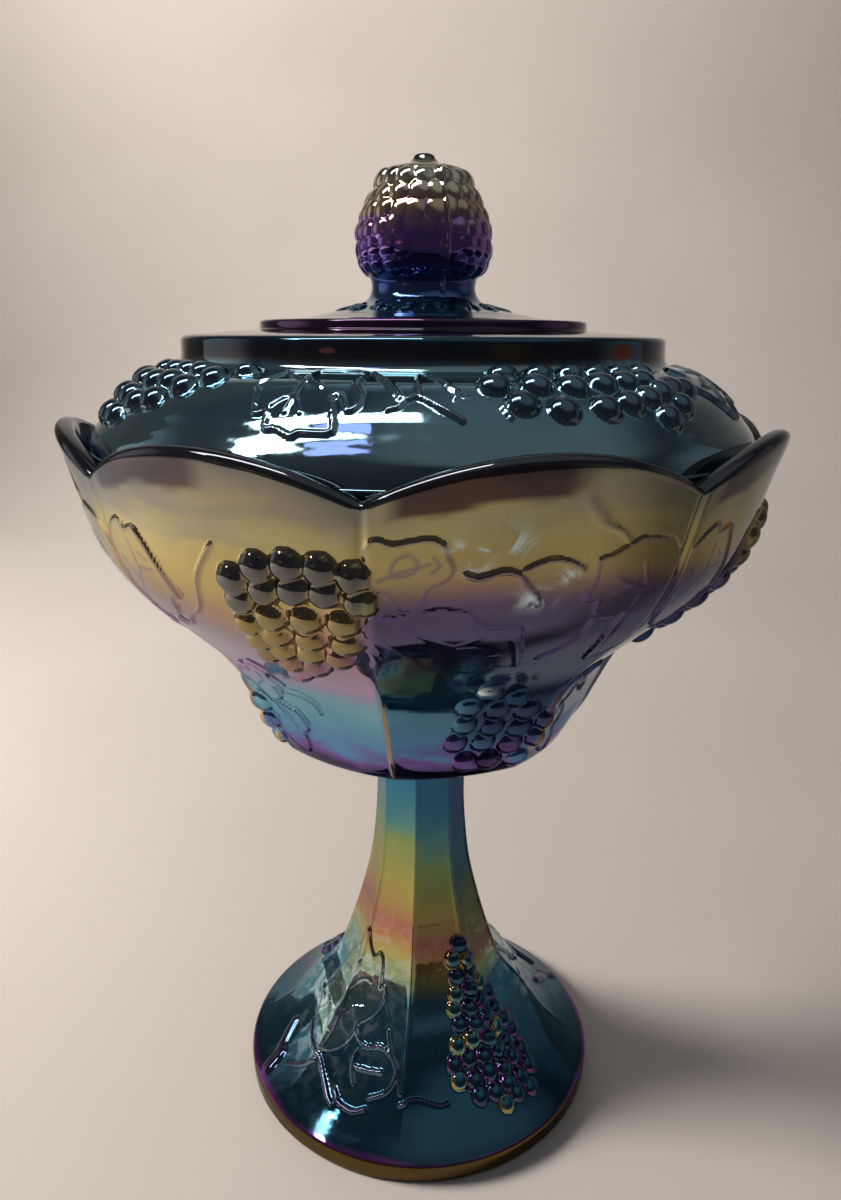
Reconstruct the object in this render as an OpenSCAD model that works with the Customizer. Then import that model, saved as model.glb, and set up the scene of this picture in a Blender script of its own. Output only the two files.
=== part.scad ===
// Covered glass bowl on a pedestal: two fused pressings (pedestal and bowl) and a lift-off lid.
// Millimetres. +Z is up, and the origin is the centre of the foot's resting face.

/* [Pedestal] */
// Diameter of the foot
foot_d = 103; // [96:0.5:110]
// Height of the foot's upright edge
foot_edge_h = 5; // [3:0.5:7]
// Diameter of the stem at its waist, across the corners
stem_d = 25.4; // [22:0.2:30]
// Height of the stem's waist
waist_z = 90; // [84:1:96]
// Height of the joint between pedestal and bowl
joint_z = 108; // [104:1:112]

/* [Bowl] */
// Diameter of the bowl over the tops of the scallops
rim_d = 176.2; // [172:0.2:180]
// Height of the valleys between the scallops
valley_z = 186; // [185.8:0.1:188]
// Rise of a scallop over the valleys
scallop_h = 8.4; // [4:0.1:9]

/* [Lid] */
// Diameter of the lid at its rim
lid_d = 161; // [158:0.2:162]
// Diameter of the upright collar
collar_d = 117.4; // [110:0.2:122]
// Diameter of the raised disc under the knob
disc_d = 80; // [70:1:90]
// Height of the knob's top over the table
overall_h = 254; // [250:0.5:258]

/* [Hidden] */

sides = 8;                    // facets of the stem and scallops of the bowl
half_side = 180 / sides;
turn = -6;                    // angle of one crease of the pedestal from -Y, towards +X
bowl_turn = -7;               // the same for the bowl, which was fused on slightly turned
flat_share = 0.93;            // radius to a flat over radius to a corner where the facets are full
round_share = 1.12;           // and where they have faded out into the round surface
reach = 130;                  // longer than any radius
foot_r = foot_d / 2;
stem_r = stem_d / 2;
rim_r = rim_d / 2;
peak_z = valley_z + scallop_h;
seat_z = 184;                 // ledge that carries the lid
seat_r = 77;                  // inner edge of that ledge
recess_r = 81.6;              // inner wall above the ledge
lid_gap = 0.3;                // air between lid and ledge
lid_z = seat_z + lid_gap;
lid_r = lid_d / 2;
collar_r = collar_d / 2;
collar_z = 212.6;             // top of the collar
corner_r = 2.2;               // rounding of the collar's top edge
disc_r = disc_d / 2;
disc_z = 216.1;               // top of the disc

// A smooth line through points, by Catmull-Rom, with the given number of steps to a span.
function spline_point(a, b, c, d, t) = 0.5
    * (2 * b + t * (c - a) + t * t * (2 * a - 5 * b + 4 * c - d) + t * t * t * (3 * b - 3 * c + d - a));
function smooth_line(p, steps) = let (last = len(p) - 1) concat(
    [for (i = [0:last - 1], k = [0:steps - 1])
        spline_point(p[max(i - 1, 0)], p[i], p[i + 1], p[min(i + 2, last)], k / steps)],
    [p[last]]
);
function backwards(p) = [for (i = [len(p) - 1:-1:0]) p[i]];
function ramp(z, from_z, to_z) = min(1, max(0, (z - from_z) / (to_z - from_z)));

// The trumpet of foot and stem: radius to a corner at height z.
flare_power = 2.6;
function trumpet_r(z) = stem_r
    + (foot_r - stem_r) * pow(max(0, (waist_z - z) / (waist_z - foot_edge_h)), flare_power)
    + 1.5 * pow(ramp(z, waist_z, joint_z), 2);
function trumpet(step) = concat(
    [for (z = [foot_edge_h:step:waist_z - 1]) [trumpet_r(z), z]],
    [for (k = [0:3]) let (z = waist_z + (joint_z - waist_z) * k / 3) [trumpet_r(z), z]]
);

// Outside and inside of the bowl, as [radius to a corner, height].
bowl_outside = smooth_line([
    [stem_r + 1.5, joint_z], [33, 109.4], [41, 112.6], [44.6, 119], [49.6, 128.5], [57, 139], [65.4, 148.2],
    [73.8, 157.2], [79.8, 166.5], [83, 176], [85.3, 185], [rim_r, peak_z],
], 3);
bowl_inside = smooth_line([
    [0, 113.5], [24, 114.2], [34, 117.5], [39, 123], [45, 133.5], [53.2, 143.6], [62, 152.8],
    [69.6, 161.6], [74.6, 171], [seat_r, seat_z],
], 3);

// Outside of the lid up to the collar, the knob over the disc, and the hollow.
shoulder = smooth_line([
    [lid_r - 0.4, lid_z], [lid_r, lid_z + 2.2], [79.4, 191], [76.8, 194.6], [73.7, 198.2], [70, 201.4],
    [65.5, 204.2], [collar_r + 1.8, 205.8], [collar_r, 207.4],
], 3);
collar_corner = [for (a = [0:15:90]) [collar_r, collar_z] + corner_r * [cos(a) - 1, sin(a) - 1]];
disc_edge = [[disc_r, disc_z - 2.2], [disc_r, disc_z]];
knob = smooth_line([
    [disc_r - 0.6, disc_z + 0.1], [30, 216.9], [22, 218.2], [15.2, 220.4], [12.6, 224], [13.4, 227],
    [15.6, 230], [16.3, 234.6], [15.4, 240], [13.2, 245], [10.6, 249], [6, overall_h - 2.2], [0, overall_h],
], 4);
lid_inside = smooth_line([
    [0, 208.2], [30, 208.2], [48, 207.6], [53.4, 205.2], [57, 202.4], [62.5, 200.6], [67.5, 197.8],
    [71.4, 194], [74.6, 189.6], [76.2, lid_z],
], 3);

// An eight-sided body with a flat on each side. shares gives, at each point of the line,
// the radius to a flat over the radius to a corner.
module faceted(line, shares, turn) {
    last = len(line) - 1;
    points = [for (i = [0:last], k = [0:sides - 1])
        let (r = line[i][0] * shares[i] / cos(half_side), a = 270 + turn + k * 360 / sides)
        [r * cos(a), r * sin(a), line[i][1]]];
    bottom = [for (k = [0:sides - 1]) k];
    top = [for (k = [sides - 1:-1:0]) last * sides + k];
    sides_up = [for (i = [0:last - 1], k = [0:sides - 1])
        let (a = i * sides + k, b = i * sides + (k + 1) % sides)
        each [[a, a + sides, b], [b, a + sides, b + sides]]];
    polyhedron(points, concat([bottom, top], sides_up));
}

// Pedestal: a round foot that turns into an eight-sided stem, hollow from below.
module pedestal() color("midnightblue") {
    outline = concat([[0, 0], [foot_r - 0.5, 0], [foot_r, 0.8]], trumpet(2.5), [[0, joint_z]]);
    hollow = concat([[0, -1], [47, -1]],
        smooth_line([[47, 0], [42.5, 5], [34, 12], [26, 20], [18.6, 29], [11.5, 38], [5, 45], [0, 47]], 3));
    facets = concat([[foot_r, -1]], [for (p = trumpet(4.2)) p + [0, 0.6]]);
    difference() {
        intersection() {
            rotate_extrude($fn = 96) polygon(outline);
            faceted(facets, [for (p = facets)
                round_share + (flat_share - round_share) * ramp(p[1], foot_edge_h + 1, 34)], turn);
        }
        rotate_extrude($fn = 96) polygon(hollow);
    }
}

// Bowl: an eight-sided cup that opens into a round flared wall with a ledge and a scalloped rim.
module bowl() color("royalblue") {
    facets = concat([[stem_r + 1.5, joint_z - 1]],
        [for (i = [1:3:len(bowl_outside) - 6]) bowl_outside[i] + [0, 0.4]], [[rim_r, peak_z + 1]]);
    rim = [[rim_r - 0.6, peak_z], [recess_r, peak_z], [recess_r, seat_z]];
    difference() {
        intersection() {
            rotate_extrude($fn = 128) polygon(concat([[0, joint_z]], bowl_outside, rim, backwards(bowl_inside)));
            faceted(facets, [for (p = facets)
                flat_share + (round_share - flat_share) * ramp(p[1], 128, 166)], bowl_turn);
        }
        for (k = [0:sides - 1]) rotate(270 + bowl_turn + k * 360 / sides) valley();
    }
}

// Valley between two scallops: a cusp between two arches, cut outwards along a crease.
module valley() {
    half_chord = rim_r * sin(half_side);
    arch_r = (half_chord * half_chord + scallop_h * scallop_h) / (2 * scallop_h);
    arch = [for (i = [-12:12]) let (x = half_chord * i / 12, y = half_chord - abs(x))
        [x, peak_z + 0.02 - arch_r + sqrt(arch_r * arch_r - y * y)]];
    rotate([90, 0, 90]) linear_extrude(height = reach)
        polygon(concat([[half_chord, peak_z + 5], [-half_chord, peak_z + 5]], arch));
}

// Lid: a hollow shoulder, an upright collar and a solid knob in one pressing.
module lid() color("darkslateblue") {
    rotate_extrude($fn = 128) polygon(concat(shoulder, collar_corner, disc_edge, knob, lid_inside));
}

pedestal();
bowl();
lid();
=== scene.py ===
import math
import bpy
import numpy as np
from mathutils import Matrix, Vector


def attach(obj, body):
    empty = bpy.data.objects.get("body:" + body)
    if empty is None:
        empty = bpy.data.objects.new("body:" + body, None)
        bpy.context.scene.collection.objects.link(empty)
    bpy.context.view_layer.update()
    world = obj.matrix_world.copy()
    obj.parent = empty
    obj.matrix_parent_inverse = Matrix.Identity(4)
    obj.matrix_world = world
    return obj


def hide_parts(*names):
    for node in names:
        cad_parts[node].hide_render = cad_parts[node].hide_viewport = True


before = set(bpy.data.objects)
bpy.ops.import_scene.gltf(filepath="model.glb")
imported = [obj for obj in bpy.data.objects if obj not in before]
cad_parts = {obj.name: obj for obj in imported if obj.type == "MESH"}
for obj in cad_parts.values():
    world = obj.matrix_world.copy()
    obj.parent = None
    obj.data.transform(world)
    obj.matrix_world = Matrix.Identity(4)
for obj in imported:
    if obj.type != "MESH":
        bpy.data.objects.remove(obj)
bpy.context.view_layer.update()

MM = 0.001
SIDES = 8                 # facets of stem and cup, scallops of the rim
PITCH = 360 / SIDES
CREASE = -6               # angle of one crease from the front, towards the right
RIM_CREASE = -7           # the same at the bowl's rim
SOFT = 1.2                # degrees over which the corners are rounded

# the bowl's rim
RIM_Z, RIM_R = [181, 184, 187, 190.5, 194.5], [84.4, 85.2, 86.2, 87.3, 88.0]
BAND_Z = (181, 185)       # the rows between these heights fan out to the scallops
VALLEY_Z = 185.8          # height of the rim at a crease
SCALLOP_H = 8.3           # rise of a scallop over that
LIP_R = 1.7               # radius of the rounded lip
LIP_WALL = 4.3            # thickness of the wall at the lip
SEAT_Z = 184.0            # height of the ledge that takes the lid
SEAT_R = (81.6, 81.2, 77.6)     # wall over the ledge, corner and inner edge of the ledge

# ------------------------------------------------------------------ lines and rings
# Lines are [radius, height] in mm. Angles are in degrees, 0 towards the viewer, + to the right.


def smooth_line(points, step):
    """A Catmull-Rom line through the points, cut into even steps of about the given length."""
    p = np.array(points, float)
    fine = []
    for i in range(len(p) - 1):
        a, b, c, d = p[max(i - 1, 0)], p[i], p[i + 1], p[min(i + 2, len(p) - 1)]
        for t in np.arange(0, 1, 1 / 24):
            fine.append(0.5 * (2 * b + t * (c - a) + t * t * (2 * a - 5 * b + 4 * c - d)
                               + t ** 3 * (3 * b - 3 * c + d - a)))
    fine = np.array(fine + [p[-1]])
    run = np.r_[0, np.cumsum(np.hypot(*np.diff(fine, axis=0).T))]
    at = np.linspace(0, run[-1], max(2, round(run[-1] / step) + 1))
    return np.c_[np.interp(at, run, fine[:, 0]), np.interp(at, run, fine[:, 1])], at


def ramp(x, low, high):
    """0 up to low, 1 from high on, and an S between."""
    t = np.clip((x - low) / (high - low), 0, 1)
    return t * t * (3 - 2 * t)


def zone(x, a, b, c, d):
    """1 from b to c, and soft edges out to a and d."""
    return ramp(x, a, b) * (1 - ramp(x, c, d))


def offset(angle, middle, period):
    """Degrees from the nearest of the places one period apart."""
    return (angle - middle + period / 2) % period - period / 2


def columns(count):
    return CREASE + np.arange(count) * 360 / count


def facet(angle, crease=CREASE):
    """Radius to an eight-sided outline over the radius to its corners, with softened corners."""
    off = offset(angle, crease, PITCH)
    off = np.sqrt(off * off + SOFT * SOFT) - SOFT * np.exp(-np.abs(off) / SOFT)
    return math.cos(math.radians(PITCH / 2)) / np.cos(np.radians(PITCH / 2 - off))


def turn_out(radius, height, angle):
    """Points in mm from radius, height and angle arrays of one shape."""
    a = np.radians(angle)
    return np.stack([radius * np.sin(a), -radius * np.cos(a), height], -1)


def by_panel(panel, values):
    """One value for each of the eight panels, blended over a narrow band at the creases."""
    knots = np.arange(SIDES + 1)[:, None] + np.array([-0.04, 0.04])
    levels = np.array([[values[k - 1], values[k % SIDES]] for k in range(SIDES + 1)])
    return np.interp(panel, knots.ravel(), levels.ravel())


def sweep(line, angle, share=0.0, crease=CREASE):
    """Rings of points round a line; share is how much of the eight-sided form each row takes."""
    share = np.broadcast_to(share, len(line))[:, None]
    ring = 1 - share + share * facet(angle[None, :], crease)
    return turn_out(line[:, :1] * ring, line[:, 1:] + 0 * ring, angle[None, :] + 0 * ring)


def outward(points):
    """Unit normals of a closed ring grid."""
    across = np.roll(points, -1, 1) - np.roll(points, 1, 1)
    along = np.gradient(points, axis=0)
    n = np.cross(across, along)
    return n / np.maximum(np.linalg.norm(n, axis=-1, keepdims=True), 1e-9)


def build(name, bands, marks):
    """One closed mesh from bands of rings. A band may have a third of the columns of its neighbour.
    marks gives, for each attribute the material reads, a number or an array for each band."""
    rings = [ring for band in bands for ring in band]
    starts = np.cumsum([0] + [len(r) for r in rings])
    verts = np.concatenate(rings) * MM
    loops, sizes = [], []
    for i in range(len(rings) - 1):
        n, m = len(rings[i]), len(rings[i + 1])
        if n == m:
            j = np.arange(n)
            k = (j + 1) % n
            quad = np.stack([starts[i] + j, starts[i] + k, starts[i + 1] + k, starts[i + 1] + j], 1)
            loops.append(quad.ravel())
            sizes.append(np.full(n, 4))
            continue
        few, many = min(n, m), max(n, m)
        step = many // few
        j = np.arange(few)
        fine = [(starts[i] if n == many else starts[i + 1]) + (j * step + s) % many for s in range(step + 1)]
        coarse = [(starts[i + 1] if n == many else starts[i]) + (j + s) % few for s in range(2)]
        row = fine + coarse[::-1] if n == many else coarse + fine[::-1]
        loops.append(np.stack(row, 1).ravel())
        sizes.append(np.full(few, step + 3))
    for cap in (np.arange(len(rings[0]))[::-1], starts[len(rings) - 1] + np.arange(len(rings[-1]))):
        loops.append(cap)
        sizes.append(np.array([len(cap)]))
    loops, sizes = np.concatenate(loops), np.concatenate(sizes)
    mesh = bpy.data.meshes.new(name)
    mesh.vertices.add(len(verts))
    mesh.vertices.foreach_set("co", verts.ravel())
    mesh.loops.add(len(loops))
    mesh.loops.foreach_set("vertex_index", loops.astype(np.int32))
    mesh.polygons.add(len(sizes))
    mesh.polygons.foreach_set("loop_start", np.r_[0, np.cumsum(sizes)[:-1]].astype(np.int32))
    mesh.polygons.foreach_set("use_smooth", np.ones(len(sizes), bool))
    mesh.update(calc_edges=True)
    mesh.validate()
    for key, values in marks.items():
        full = [np.broadcast_to(v, (len(band), len(band[0]))).ravel() for v, band in zip(values, bands)]
        layer = mesh.attributes.new(key, "FLOAT", "POINT")
        layer.data.foreach_set("value", np.concatenate(full).astype(np.float32))
    obj = bpy.data.objects.new(name, mesh)
    bpy.context.scene.collection.objects.link(obj)
    return obj


# ------------------------------------------------------------------ pressed ornament
class Relief:
    """Heights in mm over a sector of a swept wall. The sector repeats round the axis. Places on it
    are given as an angle in degrees and a run, the distance in mm up along the wall."""

    def __init__(self, angle, run, radius, period):
        self.columns = round(len(angle) * period / 360)
        self.angle = angle[: self.columns]
        self.run, self.radius, self.period = run, radius, period
        self.height = np.zeros((len(run), self.columns))
        self.cord = np.zeros_like(self.height)      # 1 on ribs and leaf rims
        self.grape = np.zeros_like(self.height)     # height of the grapes, 1 at their tops
        self.tint = np.zeros_like(self.height)      # one value for each grape
        self.shade = np.zeros_like(self.height)      # painted shade on the bowl's leaves, 1 where darkest; on the pedestal only a mark of the leaf
        self.random = np.random.default_rng(7)      # for the tints alone

    def away(self, angle, run, rows=slice(None)):
        """Distances in mm, right and up, from a place to every grid point."""
        x = np.radians(offset(self.angle, angle, self.period))[None, :] * self.radius[rows, None]
        return x, (self.run[rows] - run)[:, None] + 0 * x

    def near(self, low, high):
        """The rows between two runs, and one more on each side."""
        i = np.searchsorted(self.run, [low, high])
        return slice(max(i[0] - 1, 0), i[1] + 1)

    def raise_to(self, rows, h):
        self.height[rows] = np.maximum(self.height[rows], h)

    def dome(self, angle, run, r, h, power=0.5):
        """A grape: a rounded bead of radius r standing h proud. A higher power is softer."""
        rows = self.near(run - r, run + r)
        x, y = self.away(angle, run, rows)
        d = np.clip((x * x + y * y) / (r * r), 0, 1)
        high = h * (1 - d) ** power
        mark = self.random.uniform(-1, 1)
        self.tint[rows] = np.where(high > self.height[rows], mark, self.tint[rows])
        self.grape[rows] = np.maximum(self.grape[rows], high / h)
        self.raise_to(rows, high)

    def distance(self, path, rows):
        """Distance in mm from a path of (angle, run) points to every grid point."""
        best = np.full((len(self.run[rows]), self.columns), 1e9)
        for (a0, r0), (a1, r1) in zip(path[:-1], path[1:]):
            x0, y0 = self.away(a0, r0, rows)
            dx = -np.radians(a1 - a0) * self.radius[rows, None]
            dy = -(r1 - r0) + 0 * dx
            length = dx * dx + dy * dy + 1e-9
            t = np.clip(-(x0 * dx + y0 * dy) / length, 0, 1)
            best = np.minimum(best, np.hypot(x0 + t * dx, y0 + t * dy))
        return best

    def rib(self, points, w, h):
        """A raised cord along a smooth path of (angle, run) points, w mm to each side."""
        path, _ = smooth_line(points, 1.5)
        rows = self.near(path[:, 1].min() - w, path[:, 1].max() + w)
        d = self.distance([tuple(p) for p in path], rows) / w
        self.cord[rows] = np.maximum(self.cord[rows], np.clip(1.3 - d, 0, 1))
        self.raise_to(rows, h * np.sqrt(np.clip(1 - d * d, 0, 1)))

    def plate(self, points, h, edge, rim_w=0.0, rim_h=0.0, shade=0.0):
        """A raised leaf inside a closed outline, with a rolled rim. shade is how dark the leaf is painted on
        the bowl; on the pedestal it only marks the leaf.
        """
        path, _ = smooth_line(list(points) + [points[0]], 0.7)
        path = [tuple(p) for p in path]
        run = [p[1] for p in path]
        rows = self.near(min(run) - edge - rim_w, max(run) + edge + rim_w)
        inside = np.zeros((len(self.run[rows]), self.columns), bool)
        off = offset(self.angle, points[0][0], self.period) + points[0][0]
        y = self.run[rows][:, None]
        for (a0, r0), (a1, r1) in zip(path[:-1], path[1:]):
            if r0 == r1:
                continue
            cross = (r0 > y) != (r1 > y)
            at = a0 + (y - r0) / (r1 - r0) * (a1 - a0)
            inside ^= cross & (off[None, :] < at)
        d = self.distance(path, rows)
        signed = np.where(inside, d, -d)
        self.raise_to(rows, h * ramp(signed, -edge, edge))
        # painted shade on the leaf
        self.shade[rows] = np.maximum(self.shade[rows], shade * ramp(signed, -0.3, 1.2))
        if rim_w:
            t = d / rim_w
            self.cord[rows] = np.maximum(self.cord[rows], np.clip(1.3 - t, 0, 1))
            self.raise_to(rows, rim_h * np.sqrt(np.clip(1 - t * t, 0, 1)))

    def all_round(self, values):
        """The sector's values, repeated to the full circle."""
        return np.tile(values, (1, round(360 / self.period)))


# radius and height of the grapes, half width and height of the veins, in mm
CLUSTER_GRAPE, LOWER_GRAPE, FOOT_GRAPE, LID_GRAPE = (3.35, 2.4), (3.2, 1.9), (2.55, 1.6), (3.2, 2.2)
VEIN, FINE_VEIN, FOOT_VEIN = (0.45, 0.55), (0.42, 0.45), (0.5, 0.7)


# ------------------------------------------------------------------ bowl
def bowl_relief(relief):
    # the big cluster of grapes
    grapes = [
        (-25.2, 70.8), (-21.2, 73.8), (-16.9, 74.7), (-12.6, 74.4), (-8.4, 73),
        (-25.0, 66), (-20.8, 69), (-16.6, 69.7), (-12.3, 69.6), (-7.8, 67.8),
        (-21.4, 61.9), (-16, 62.4), (-10.6, 62.2), (-25.8, 59.2),
        (-22.4, 56), (-16.6, 56.2), (-11, 55.8), (-26.4, 53),
        (-23.4, 49.8), (-18.2, 50), (-13.2, 49.4), (-27.8, 46.8),
        (-24.6, 43.6), (-19.4, 43.4), (-25.6, 37.8),
    ]
    for a, r in grapes:
        relief.dome(a, r, *CLUSTER_GRAPE)
    # grapes of the lower cluster
    for a, r in [(16, 30), (24.5, 26.6), (12, 24.5), (20.4, 22.6), (29, 21.6), (12, 18), (20.5, 16.6),
                 (29, 15.4), (10, 11.8), (19, 11.4), (28, 9.8), (14, 5.2), (22.4, 5), (32, 4.4),
                 (36, 11.6), (36.6, 17.6)]:
        relief.dome(a + 0.6, r - 0.8, *LOWER_GRAPE)
    # leaf right of the cluster, close under the rim
    relief.plate([(-7, 78), (-5.6, 80.6), (-3.6, 79.6), (-1.6, 80.2), (1, 80.8), (2.6, 79.6), (3, 77.4),
                  (3.8, 75), (2.8, 72.6), (1, 71.2), (0.2, 69), (-0.4, 66.6), (-3, 67), (-4.4, 70),
                  (-6.4, 71.6)], 0.35, 0.5, 0.42, 0.5)
    for vein in ([(-3.8, 73.4), (-3.4, 76.2), (-1.8, 78), (-0.4, 76.6), (-1, 74.4), (-3.8, 73.4)],
                 [(-5.4, 72.6), (-2.4, 74.6), (1, 76.2)], [(1.4, 77.6), (2.2, 75.8), (1.2, 74.4)]):
        relief.rib(vein, 0.42, 0.4)
    # leaf low in the same panel
    relief.plate([(0.2, 65.8), (2, 66.4), (4, 66.2), (6.2, 65.4), (7.2, 63.4), (9, 61.8), (11.6, 61.4),
                  (13.8, 60.6), (14.4, 57.6), (15.4, 53.4), (16.8, 48.6), (16.6, 45.4), (14, 45.2),
                  (12, 46), (10.2, 44.2), (9, 42.6), (6.4, 43.6), (3, 44.6), (0.4, 46), (-1.4, 50.4),
                  (-3.6, 53.6), (-5.6, 55.4), (-7.6, 58.6), (-7, 63), (-3, 64.6)], 0.45, 0.5, 0.42, 0.6,
                 0.6)
    for vein in ([(-5.2, 64.6), (-2.6, 61.6), (1, 58.4), (4.6, 55.6)], [(4.6, 55.6), (6.8, 57), (8.6, 58.8)],
                 [(5, 54.8), (8, 54.8), (10.4, 53.2), (12.6, 51.4)], [(5, 54.6), (7.4, 52.6), (11.6, 51.6)],
                 [(4.2, 54.6), (3.8, 52.4), (4.8, 50.4), (6.4, 48.4)]):
        relief.rib(vein, *VEIN)
    relief.rib([(13.4, 57.6), (14.6, 53.4), (15.8, 49.4), (17, 45.2)], 0.7, 0.85)
    relief.rib([(-7.4, 53), (-7, 49.6), (-7.6, 46.6)], 0.9, 0.5)
    # tendrils between the leaves
    relief.rib([(5.4, 73.8), (7.2, 73), (9.4, 74.2), (11.6, 74), (13, 71.6), (14.6, 69), (15.2, 66.8)],
               0.6, 0.7)
    relief.rib([(12.8, 74.4), (14.6, 75.8), (17, 76.2), (19, 75.2), (20.6, 73.8)], 0.5, 0.6)
    relief.rib([(20.6, 47), (23, 50), (25, 55), (25.2, 60.4)], 0.5, 0.45)
    relief.rib([(19.6, 84), (23, 82.2), (25.4, 80.6), (26.6, 78.6)], 0.5, 0.4)
    # leaf against the right crease
    relief.plate([(28.6, 79), (26.4, 77.6), (24.4, 76), (22.8, 75.4), (22.8, 71.4), (22, 67.2),
                  (24, 66.8), (24.4, 64.2), (25.4, 62), (28, 61.2), (30.6, 62.2), (30, 57), (30.8, 51),
                  (32, 43.4), (34.4, 45), (37, 49), (37.8, 60), (37.4, 70), (34.6, 77)], 0.35, 0.5, 0.42,
                 0.5, 0.3)
    relief.plate([(30.6, 66.4), (34.6, 66.8), (37.2, 60), (37, 51), (34, 46.4), (31.6, 50), (30.8, 57)],
                 0.5, 0.6, shade=0.7)
    for vein in ([(26, 71.4), (28, 69.8), (30.4, 68.6), (32.4, 67.4)],
                 [(30.4, 73.6), (31.4, 70.2), (32.4, 67.4)], [(26.8, 67.6), (29, 68.4), (30.6, 67.8)],
                 [(30.6, 61.6), (30, 57), (30.6, 52), (31.6, 46.6)]):
        relief.rib(vein, *VEIN)
    # leaf against the left crease and its tendril
    relief.plate([(-50.6, 74.6), (-48.6, 77.4), (-46.2, 79), (-45.2, 77), (-42.4, 78), (-41, 76),
                  (-39.6, 71.6), (-38, 67), (-37.8, 62.6), (-39.4, 62.6), (-41.4, 60.4), (-42.6, 57),
                  (-45.6, 54.6), (-50, 56)], 0.35, 0.5, 0.42, 0.55, 0.15)
    relief.rib([(-42, 77.4), (-40.2, 72.6), (-38.6, 67.4), (-38, 63)], 0.8, 0.8)
    for vein in ([(-49.4, 60.4), (-46.8, 64.4), (-44.8, 68.6), (-45.2, 75)], [(-44.8, 68.6), (-41, 69)],
                 [(-46.6, 64.8), (-49, 70)], [(-43.4, 72.6), (-41.6, 71)]):
        relief.rib(vein, *FINE_VEIN)
    relief.rib([(-27.4, 77.4), (-29.4, 74), (-31.4, 70), (-33, 64.4), (-35, 60.4), (-38, 57.6), (-40, 56.4),
                (-41.6, 53.4), (-43.6, 51.4), (-45.6, 51), (-46.6, 52.6)], 0.5, 0.6)
    # leaf and tendril of the lower tier
    relief.plate([(-50, 31), (-47.4, 30), (-45.4, 33), (-43.6, 34.2), (-41.4, 31), (-42, 27.6), (-40, 24),
                  (-43.6, 24.4), (-43.4, 20.6), (-46.4, 18.6), (-43, 16.4), (-40.6, 15.6), (-38.6, 12),
                  (-39.4, 9.8), (-41.2, 9), (-40.2, 5), (-43, 1.4), (-48, 5), (-52, 12), (-54, 22)], 0.4,
                 0.5, 0.5, 0.75)
    for vein in ([(-52, 26), (-48, 19), (-43, 10)], [(-48, 19), (-43, 13.6)],
                 [(-50, 23), (-46, 26), (-44.6, 30)]):
        relief.rib(vein, *VEIN)
    relief.rib([(-40, 23), (-36, 23.2), (-33, 22), (-31, 20.4), (-30.4, 17.6)], 0.55, 0.65)


def rim_height(angle):
    """Height of the scalloped rim at each angle."""
    off = ((angle - RIM_CREASE) % PITCH) / PITCH
    return VALLEY_Z + SCALLOP_H * (1 - (2 * off - 1) ** 2)


def bowl_wall(angle):
    """The outer wall. Gives its points, relief, creases by row, and the ridges of the lower cup."""
    line, run = smooth_line([(41, 112.6), (44.6, 118), (46.8, 122.6), (51.5, 132), (56.5, 139),
                             (65.5, 148), (74, 157), (79.8, 166), (82.7, 174.6), (83.6, 178),
                             (84.4, 181)], 0.45)
    share = (1 - ramp(line[:, 1], 122, 166)) * (0.35 + 0.65 * ramp(line[:, 1], 112.6, 121))
    low, high = BAND_Z
    band = np.linspace(low, high, 10)[1:]
    row_z = np.r_[line[:, 1], band]
    row_r = np.r_[line[:, 0], 85 + 0 * band]
    crease = np.interp(row_z, [134, 150, 186], [-8.9, -8.0, RIM_CREASE])[:, None]
    wall = sweep(line, angle, share, crease[: len(line)])
    relief = Relief(angle, np.r_[run, run[-1] + band - low], row_r, 90)
    bowl_relief(relief)

    # the rim follows the scallops, so the rows of the band under it fan out
    grow = (rim_height(angle) - LIP_R - low) / (high - low)
    z = low + (band[:, None] - low) * grow[None, :]
    r = np.interp(z, RIM_Z, RIM_R)
    outside = np.concatenate([wall, turn_out(r, z, angle[None, :] + 0 * r)])
    away = np.radians(offset(angle[None, :], crease, PITCH)) * row_r[:, None]
    groove = ramp(row_z, 150, 172)[:, None] * np.exp(-(away / 0.9) ** 2)
    ridge = (1 - ramp(row_z, 134, 142))[:, None] * np.exp(-(away / 0.55) ** 2)
    proud = relief.all_round(relief.height) - 0.6 * groove + 0.4 * ridge
    return outside + outward(outside) * proud[..., None], relief, crease, ridge


def bowl_lip(angle):
    """The rounded lip, and the inside from there to the ledge."""
    top = rim_height(angle)
    r_top = np.interp(top - LIP_R, RIM_Z, RIM_R)
    turns = [(a, r_top - LIP_R) for a in np.linspace(0, 90, 7)[1:]]
    turns += [(a, r_top - LIP_WALL + LIP_R) for a in np.linspace(90, 180, 7)]
    lip = []
    for a, middle in turns:
        c, s = math.cos(math.radians(a)), math.sin(math.radians(a))
        lip.append(turn_out(middle + LIP_R * c, top - LIP_R + LIP_R * s, angle))
    inner = []
    for k in (0.35, 0.7, 1.0):
        r = r_top - LIP_WALL + (SEAT_R[0] - r_top + LIP_WALL) * k
        z = (top - LIP_R) + (SEAT_Z + 0.3 - top + LIP_R) * k
        inner.append(turn_out(r, z, angle))
    for r in SEAT_R[1:]:
        inner.append(turn_out(r + 0 * angle, SEAT_Z + 0 * angle, angle))
    return lip, inner


def bowl_level(row, high):
    """The film thins downwards, and reaches higher up on some panels."""
    even = np.interp(row, [0, 4, 8, 25, 31, 46, 60, 68, 77, 84, 88],
                     [0, 0.07, 0.1, 0.31, 0.385, 0.46, 0.6, 0.72, 0.83, 0.93, 1])
    tall = np.interp(row, [0, 3, 6, 24, 44, 50, 60, 68, 74, 84, 96],
                     [0, 0.06, 0.09, 0.2, 0.29, 0.38, 0.47, 0.56, 0.72, 0.88, 1])
    return even + (tall - even) * high


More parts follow.
